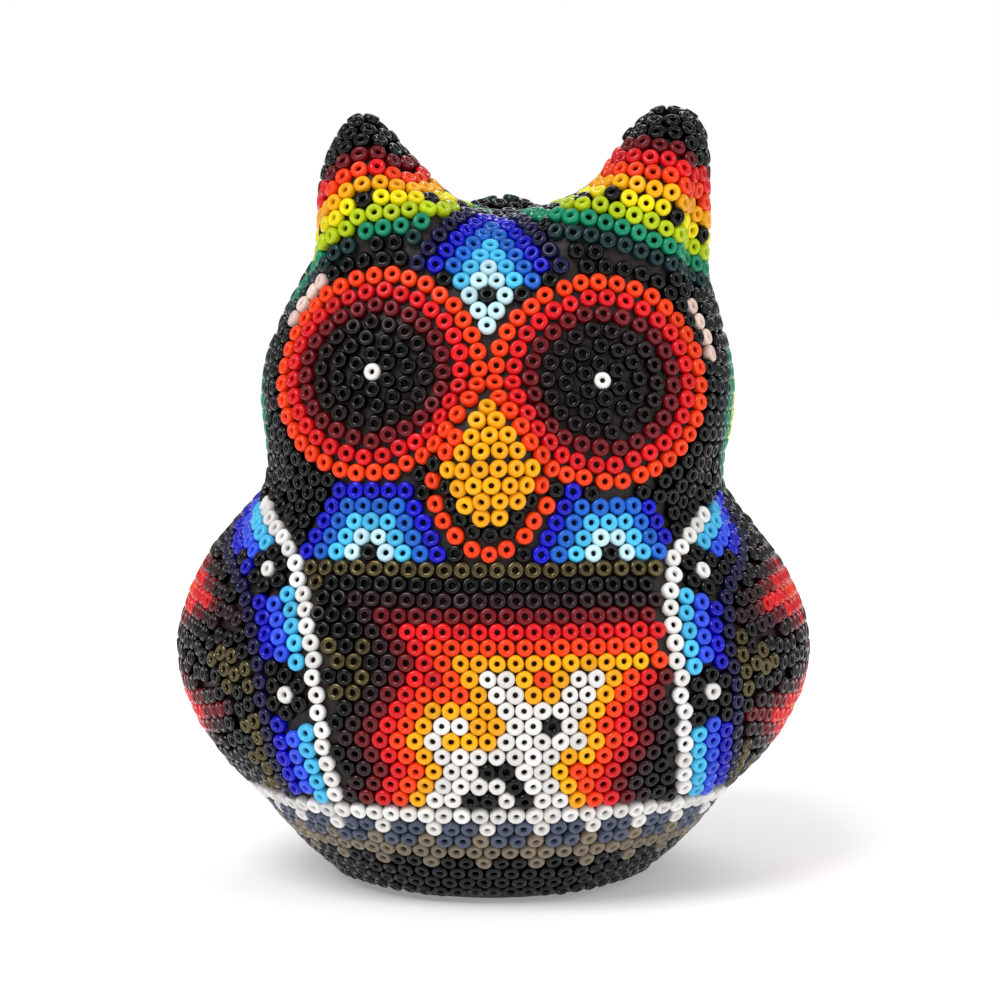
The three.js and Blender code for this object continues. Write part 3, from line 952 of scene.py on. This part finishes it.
beak()
forehead(tip_shade, *TIP_ROWS)
for side_name in SIDES:
    eye(side_name)
for side_name in SIDES:
    beside_beak(side_name)
forehead(diamond_shade, *UPPER_ROWS)
for side_name in SIDES:
    wing_line(side_name)
    cheek(side_name)
breast()
under_beak("chin_black")
foot()
for side_name in SIDES:
    for flower_level in ("upper", "lower"):
        flower(side_name, flower_level)
    ear(side_name)
    head_side(side_name)
    beside_eye(side_name)
    columns(side_name, 1, len(COLUMNS))
    sun(side_name, "upper")
    sun(side_name, "lower")
    columns(side_name, len(COLUMNS) + 1, LAST_COLUMN)
back_flower()
head_back()
ground()
for fill_share in LOOSEST:
    fill_chinks(fill_share * PITCH)
    layer.settle(SETTLE_ROUNDS)

# ---- materials


def linear(rgb):
    """A colour written in sRGB, from 0 to 255, as linear light."""
    shares = [c / 255 for c in rgb]
    return [s / 12.92 if s <= 0.04045 else ((s + 0.055) / 1.055) ** 2.4 for s in shares]


class Nodes:
    """A new material with a Principled surface, and short ways to add nodes to it."""

    def __init__(self, name, **sockets):
        self.material = bpy.data.materials.new(name)
        self.material.use_nodes = True
        self.tree = self.material.node_tree
        self.surface = self.tree.nodes["Principled BSDF"]
        for socket, value in sockets.items():
            self.surface.inputs[socket.replace("_", " ")].default_value = value

    def feed(self, socket, value):
        """Links an output to a socket, or gives the socket a value."""
        if isinstance(value, bpy.types.NodeSocket):
            self.tree.links.new(value, socket)
        else:
            socket.default_value = value

    def add(self, kind, **settings):
        """A node with settings: attributes of the node, or what to feed to its inputs."""
        node = self.tree.nodes.new("ShaderNode" + kind)
        for key, value in settings.items():
            if hasattr(node, key):
                setattr(node, key, value)
            else:
                self.feed(node.inputs[key.replace("_", " ")], value)
        return node

    def place(self):
        """Coordinates fixed to the object, in metres."""
        return self.add("TexCoord").outputs["Object"]

    def noise(self, scale, detail=3.0):
        return self.add("TexNoise", Vector=self.place(), Scale=scale, Detail=detail).outputs["Fac"]

    def ramp(self, source, stops):
        ramp = self.add("ValToRGB", Fac=source)
        elements = ramp.color_ramp.elements
        while len(elements) < len(stops):
            elements.new(0.5)
        for element, (position, colour) in zip(elements, stops):
            element.position = position
            element.color = (*colour, 1)
        return ramp.outputs["Color"]

    def colour(self, source):
        self.feed(self.surface.inputs["Base Color"], source)

    def rough(self, source, low, high):
        """Roughness from low to high with a source from 0 to 1."""
        scaled = self.add("MapRange", Value=source, To_Min=low, To_Max=high)
        self.feed(self.surface.inputs["Roughness"], scaled.outputs["Result"])

    def bump(self, source, strength, distance):
        bump = self.add("Bump", Height=source, Strength=strength, Distance=distance)
        self.feed(self.surface.inputs["Normal"], bump.outputs["Normal"])


def tinted(colour, factor):
    """A linear colour made darker or lighter, never past white."""
    return [min(c * factor, 0.95) for c in colour]


def glass(name, rgb, roughness=0.16, spread=0.22, metallic=0.0, specular=0.34):
    """Pressed glass: each bead a little lighter or darker than the next, with faint streaks and a gloss."""
    made = Nodes(name, Metallic=metallic, IOR=1.5, Specular_IOR_Level=specular)
    base = linear(rgb)
    tone = made.add("Attribute", attribute_name="tone").outputs["Fac"]
    own = made.ramp(tone, [(0, tinted(base, 1 - spread)), (0.5, base), (1, tinted(base, 1 + spread))])
    streaks = made.noise(1400, 2)
    shade = made.ramp(streaks, [(0.3, (0.72, 0.72, 0.72)), (0.7, (1, 1, 1))])
    mix = made.add("MixRGB", blend_type="MULTIPLY", Fac=0.35, Color1=own, Color2=shade)
    made.colour(mix.outputs["Color"])
    made.rough(streaks, roughness * 0.6, roughness * 1.6)
    made.bump(made.noise(2600, 2), 0.25, 0.00004)
    return made.material


def wax_material():
    made = Nodes("beeswax", Specular_IOR_Level=0.4)
    patches = made.noise(160, 4)
    made.colour(made.ramp(patches, [(0.25, linear((14, 10, 8))), (0.75, linear((38, 27, 20)))]))
    made.rough(patches, 0.4, 0.62)
    made.bump(made.noise(1500, 4), 0.7, 0.0002)
    return made.material


def wood_material():
    made = Nodes("carved_wood")
    stretch = made.add("Mapping", Vector=made.place(), Scale=(1, 0.16, 1)).outputs["Vector"]
    rings = made.add("TexWave", wave_type="RINGS", Vector=stretch, Scale=90, Distortion=4, Detail=3)
    grain = made.add("TexNoise", Vector=stretch, Scale=700, Detail=6)
    mix = made.add("MixRGB", Fac=0.45, Color1=rings.outputs["Fac"], Color2=grain.outputs["Fac"])
    tone = made.add("RGBToBW", Color=mix.outputs["Color"]).outputs["Val"]
    made.colour(made.ramp(tone, [(0.2, linear((150, 108, 66))), (0.8, linear((214, 176, 126)))]))
    made.rough(tone, 0.75, 0.55)
    made.bump(tone, 0.35, 0.0002)
    return made.material


GLASS = {
    "white": (236, 234, 230), "pink": (238, 208, 196), "black": (3, 3, 4), "dark": (24, 8, 10),
    "smoky": (38, 14, 18), "maroon": (104, 8, 18), "red": (218, 16, 24), "orange": (248, 62, 8),
    "gold": (250, 172, 0), "yellow": (246, 226, 0), "lime": (184, 206, 0), "green": (12, 138, 98),
    "teal": (14, 44, 46), "ice": (196, 232, 244), "sky": (74, 190, 236), "azure": (24, 96, 196),
    "cornflower": (48, 84, 232), "royal": (14, 12, 186), "navy": (16, 14, 60), "slate": (76, 84, 104),
    "taupe": (128, 116, 98), "bronze": (92, 82, 56),
}
# The colours that share another colour's finish.
SHARED_SLOTS = {
    "pink": "white", "dark": "black", "smoky": "maroon", "lime": "yellow", "teal": "green",
    **dict.fromkeys(("ice", "sky", "azure", "cornflower", "royal", "navy"), "blue"),
}
FINISH = {
    "black": {"roughness": 0.11, "specular": 0.3},
    "bronze": {"roughness": 0.22, "spread": 0.3, "metallic": 0.8},
}


def slot_of(colour):
    return SHARED_SLOTS.get(colour, colour)


materials = {}
for glass_name, glass_rgb in GLASS.items():
    materials[glass_name] = glass("glass_" + glass_name, glass_rgb, **FINISH.get(slot_of(glass_name), {}))

# ---- bead meshes

BEAD_SIDES = 16
# The section of a bead, by angle round the middle of its wall: 90 is the top, 180 the hole.
SECTION = [-62, -20, 14, 40, 64, 90, 116, 140, 172, 242]
SECTION_EXPONENT = 2.5
# How the beads differ: size, height, roundness, the slope of their ends, and the lean of their holes.
SIZE_SPREAD = 0.022
HEIGHT_SPREAD = 0.05
MOST_OVAL = 0.035
TOP_SLOPE = 0.06
LEAN_SPREAD = 0.06


def section():
    """Distance from the hole's axis and height of each point of a bead's section."""
    half_wall = (BEAD_DIAMETER - BEAD_HOLE) / 4
    points = []
    for degrees in SECTION:
        c, s = math.cos(math.radians(degrees)), math.sin(math.radians(degrees))
        r = (abs(c) ** SECTION_EXPONENT + abs(s) ** SECTION_EXPONENT) ** (-1 / SECTION_EXPONENT)
        points.append((BEAD_HOLE / 2 + half_wall * (1 + r * c), BEAD_HEIGHT / 2 * r * s))
    return points


def axes(normals, lean):
    """Three directions at right angles for each bead. The last is its hole's, leant over a little."""
    steep = np.abs(normals[:, 2:]) < 0.9
    first = unit(np.cross(np.where(steep, [[0, 0, 1]], [[1, 0, 0]]), normals))
    second = np.cross(normals, first)
    leant = unit(normals + first * lean[:, :1] + second * lean[:, 1:])
    first = unit(np.cross(second, leant))
    return first, np.cross(leant, first), leant


def bead_points(chance, places, normals, sunk):
    """The points of separate beads. Each has a size, roundness and lean of its own."""
    count = len(places)
    each = (count, 1, 1)
    rho, height = np.array(section()).T
    theta = (math.tau * np.arange(BEAD_SIDES) / BEAD_SIDES)[:, None]
    size = chance.normal(1, SIZE_SPREAD, each).clip(0.94, 1.05)
    tall = chance.normal(1, HEIGHT_SPREAD, each).clip(0.86, 1.1)
    oval = chance.uniform(0, MOST_OVAL, each)
    turn = chance.uniform(0, math.tau, each)
    wide = rho * size * (1 + oval * np.cos(2 * theta + turn))
    across = wide * np.cos(theta)
    slope = chance.uniform(-TOP_SLOPE, TOP_SLOPE, each)
    lean = chance.normal(0, LEAN_SPREAD, (count, 2)).clip(-0.14, 0.14)
    own = np.stack([across, wide * np.sin(theta), height * tall + slope * across], axis=-1)
    directions = np.stack(axes(np.array(normals), lean), axis=1)
    centres = np.array(places) - directions[:, 2] * np.array(sunk)[:, None]
    return (centres[:, None, None] + own @ directions[:, None]).reshape(-1, 3) * MM


def bead_mesh(name, places, normals, sunk):
    """One mesh of separate beads, and the tone of each as an attribute."""
    chance = np.random.default_rng(sum(map(ord, name)))
    points = bead_points(chance, places, normals, sunk)
    count = len(places)
    rows = len(SECTION)
    i, j = np.meshgrid(np.arange(BEAD_SIDES), np.arange(rows), indexing="ij")
    after, above = (i + 1) % BEAD_SIDES, (j + 1) % rows
    quad = np.stack([i * rows + j, after * rows + j, after * rows + above, i * rows + above], axis=-1)
    starts = np.arange(count) * BEAD_SIDES * rows
    quads = (starts[:, None, None] + quad.reshape(-1, 4)).ravel()
    mesh = bpy.data.meshes.new(name)
    mesh.vertices.add(len(points))
    mesh.vertices.foreach_set("co", points.ravel())
    mesh.loops.add(len(quads))
    mesh.loops.foreach_set("vertex_index", quads)
    mesh.polygons.add(len(quads) // 4)
    mesh.polygons.foreach_set("loop_start", np.arange(0, len(quads), 4))
    mesh.update(calc_edges=True)
    mesh.shade_smooth()
    tone = np.repeat(chance.beta(2.5, 2.5, count), BEAD_SIDES * rows)
    attribute = mesh.attributes.new("tone", "FLOAT", "POINT")
    attribute.data.foreach_set("value", tone.astype(np.float32))
    return mesh


# ---- pieces

# A ground bead belongs to a piece called after the nearest of these nodes, without its last word.
GROUND_NODES = ["head_black_field", "chin_black_field", "back_black_field", "wing_left_black_field",
                "wing_right_black_field", "breast_black_field", "foot_black_ring"]
ground_trees = {node: face_tree(*triangles(node)) for node in GROUND_NODES}


def ground_piece(place):
    node = min(GROUND_NODES, key=lambda name: ground_trees[name].find_nearest(place)[3])
    return node.rpartition("_")[0]


# How the names of the nodes end that the beads of a colour stand for, in each part of the owl. "rest" is for
# the colours that aren't named.
NODE_ENDS = {
    "beak": {"gold": "gold_field", "black": "black_rim", "orange": "orange_rim"},
    "eye": {"pupil": "pupil_bead", "maroon": "maroon_ring", "red": "red_ring", "orange": "orange_ring",
            "rest": "black_field"},
    "forehead": {"rest": "blue_diamond"},
    "cheek": {"rest": "blue_fan"},
    "chin": {"rest": "black_field"},
    "ear": {"black": "black_tip", **dict.fromkeys(("maroon", "red", "orange"), "red_band"),
            **dict.fromkeys(("green", "teal"), "green_band"), "rest": "yellow_band"},
    "head": {"rest": "black_field"},
    "head_back": {"rest": "blue_diamond"},
    "back": {"rest": "black_field"},
    "back_flower": {**dict.fromkeys(("white", "red", "orange", "gold"), "red_flower"),
                    "rest": "blue_flower_ring"},
    "breast": {"row": "bronze_row", "white": "white_motif", "gold": "yellow_halo", "orange": "orange_halo",
               "red": "red_halo", "maroon": "red_halo", "rest": "black_field"},
    "wing": {"white": "white_line", "rest": "black_field",
             **dict.fromkeys(COLUMNS, "upper_blue_band middle_blue_band lower_blue_band")},
    "wing_flower": {"rest": "upper_flower lower_flower"},
    "wing_sun": {"rest": "upper_sun lower_sun"},
    "foot": {colour: colour + "_ring" for colour in FOOT_ROWS},
}


def stands_for(piece):
    """The frame's nodes that a piece of beads replaces."""
    region, _, colour = piece.replace("head_side", "head").replace("bronze_row", "row").rpartition("_")
    ends = NODE_ENDS[region.replace("_left", "").replace("_right", "")]
    base = region.removesuffix("_flower").removesuffix("_sun")
    return [f"{base}_{end}" for end in ends.get(colour, ends.get("rest")).split()]


def colour_of(piece):
    """The colour that a piece's name ends with. Some names say what the beads are instead."""
    ending = piece.rpartition("_")[2]
    return {"dot": "black", "row": "bronze", "pupil": "white"}.get(ending, ending)


def placed(name, data):
    """A new object of the scene."""
    thing = bpy.data.objects.new(name, data)
    bpy.context.scene.collection.objects.link(thing)
    return thing


groups = {}
for bead_place, bead_piece, bead_sunk in zip(layer.places, layer.pieces, layer.sunk):
    if bead_piece == "ground":
        bead_piece = ground_piece(bead_place)
    groups.setdefault(bead_piece, []).append((bead_place, bead_sunk))

for piece_name, beads in sorted(groups.items()):
    bead_places = [place for place, _ in beads]
    bead_normals = [owl.nearest(place)[1] for place in bead_places]
    made_mesh = bead_mesh(piece_name, bead_places, bead_normals, [sink for _, sink in beads])
    made_colour = colour_of(piece_name)
    made_mesh.materials.append(materials[made_colour])
    made = placed(piece_name + "_beads", made_mesh)
    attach(made, "root")
    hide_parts(*stands_for(piece_name))
print("beads", len(layer.places), "pieces", len(groups))

# ---- wax and core


def shell(outer, inner, corners):
    """A closed shell between two skins that share their triangles. Their open edges are joined."""
    count = len(outer)
    ends = edges(corners).tolist()
    turned = {(j, i) for i, j in ends}
    rim = [(i, j) for i, j in ends if (i, j) not in turned]
    faces = corners.tolist() + (corners[:, ::-1] + count).tolist()
    faces += [[j, i, i + count, j + count] for i, j in rim]
    return np.concatenate([outer, inner]), faces


def wax():
    """The coat that the beads sit in, with an uneven top."""
    points, corners, directions = skin(4, 4)
    waves = sum(np.sin(points @ np.random.default_rng(SEED + k).normal(0, 1.6, 3) + k) for k in range(6))
    height = TOP_OVER_CAD_WAX - BEAD_HEIGHT + SUNK + WAX_WAVES * waves
    points, faces = shell(
        points + directions * height[:, None],
        points + directions * (height - WAX_THICKNESS)[:, None],
        corners,
    )
    points[:, 2] = np.maximum(points[:, 2], WAX_LOWEST)
    mesh = bpy.data.meshes.new("wax")
    mesh.from_pydata((points * MM).tolist(), [], faces)
    mesh.shade_smooth()
    mesh.materials.append(wax_material())
    coat = placed("wax", mesh)
    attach(coat, "root")
    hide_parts("wax_coat")


wax()
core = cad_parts["core"]
core.data.materials.clear()
core.data.materials.append(wood_material())

# ---- stage, light and camera

CAMERA_DISTANCE = 0.38
CAMERA_AZIMUTH = math.radians(2.5)
CAMERA_ELEVATION = math.radians(4.5)
CAMERA_LENS = 104
AIM = Vector((0.0008, 0, 0.0483))
OWL_MIDDLE = (0, 0, 0.05)
FLOOR_HALF = 4.0


def look(thing, target):
    thing.rotation_euler = (Vector(target) - thing.location).to_track_quat("-Z", "Y").to_euler()


def floor():
    mesh = bpy.data.meshes.new("floor")
    corners = [(x * FLOOR_HALF, y * FLOOR_HALF, 0) for x, y in ((-1, -1), (1, -1), (1, 1), (-1, 1))]
    mesh.from_pydata(corners, [], [(0, 1, 2, 3)])
    made = Nodes("pale_floor", Roughness=0.7, Emission_Color=(1, 1, 1, 1), Emission_Strength=0.26)
    made.colour(made.ramp(made.noise(40, 4), [(0.3, (0.92, 0.92, 0.92)), (0.7, (0.95, 0.95, 0.95))]))
    mesh.materials.append(made.material)
    placed("floor", mesh)


def lamp(name, data, place, power, target):
    data.energy = power
    light = placed(name, data)
    light.location = place
    look(light, target)


def softbox(name, place, size, power):
    data = bpy.data.lights.new(name, "AREA")
    data.shape = "RECTANGLE"
    data.size, data.size_y = size
    lamp(name, data, place, power, OWL_MIDDLE)


def sunlight(name, place, strength, angle):
    """A very large soft light far away."""
    data = bpy.data.lights.new(name, "SUN")
    data.angle = math.radians(angle)
    lamp(name, data, place, strength, (0, 0, 0))


def sky(strength):
    """Even white light from all round, with a white backdrop."""
    world = bpy.data.worlds.new("studio")
    world.use_nodes = True
    tree = world.node_tree
    background = tree.nodes["Background"]
    background.inputs["Strength"].default_value = strength
    backdrop = tree.nodes.new("ShaderNodeBackground")
    for node in (background, backdrop):
        node.inputs["Color"].default_value = (1, 1, 1, 1)
    seen = tree.nodes.new("ShaderNodeLightPath")
    mix = tree.nodes.new("ShaderNodeMixShader")
    tree.links.new(seen.outputs["Is Camera Ray"], mix.inputs["Fac"])
    tree.links.new(background.outputs["Background"], mix.inputs[1])
    tree.links.new(backdrop.outputs["Background"], mix.inputs[2])
    tree.links.new(mix.outputs["Shader"], tree.nodes["World Output"].inputs["Surface"])
    bpy.context.scene.world = world


def camera():
    data = bpy.data.cameras.new("camera")
    data.lens = CAMERA_LENS
    data.sensor_width = 36
    data.clip_start = 0.01
    made = placed("camera", data)
    around = Vector((
        math.sin(CAMERA_AZIMUTH) * math.cos(CAMERA_ELEVATION),
        -math.cos(CAMERA_AZIMUTH) * math.cos(CAMERA_ELEVATION),
        math.sin(CAMERA_ELEVATION),
    ))
    made.location = AIM + around * CAMERA_DISTANCE
    look(made, AIM)
    bpy.context.scene.camera = made


floor()
sky(strength=0.42)
sunlight("key", (-0.42, -0.6, 0.85), strength=1.85, angle=32)
softbox("fill", (0.6, -0.5, 0.45), size=(0.5, 0.6), power=1.6)
softbox("back", (0.1, 0.7, 0.6), size=(0.8, 0.4), power=2.5)
camera()
bpy.context.scene.view_settings.view_transform = "Standard"
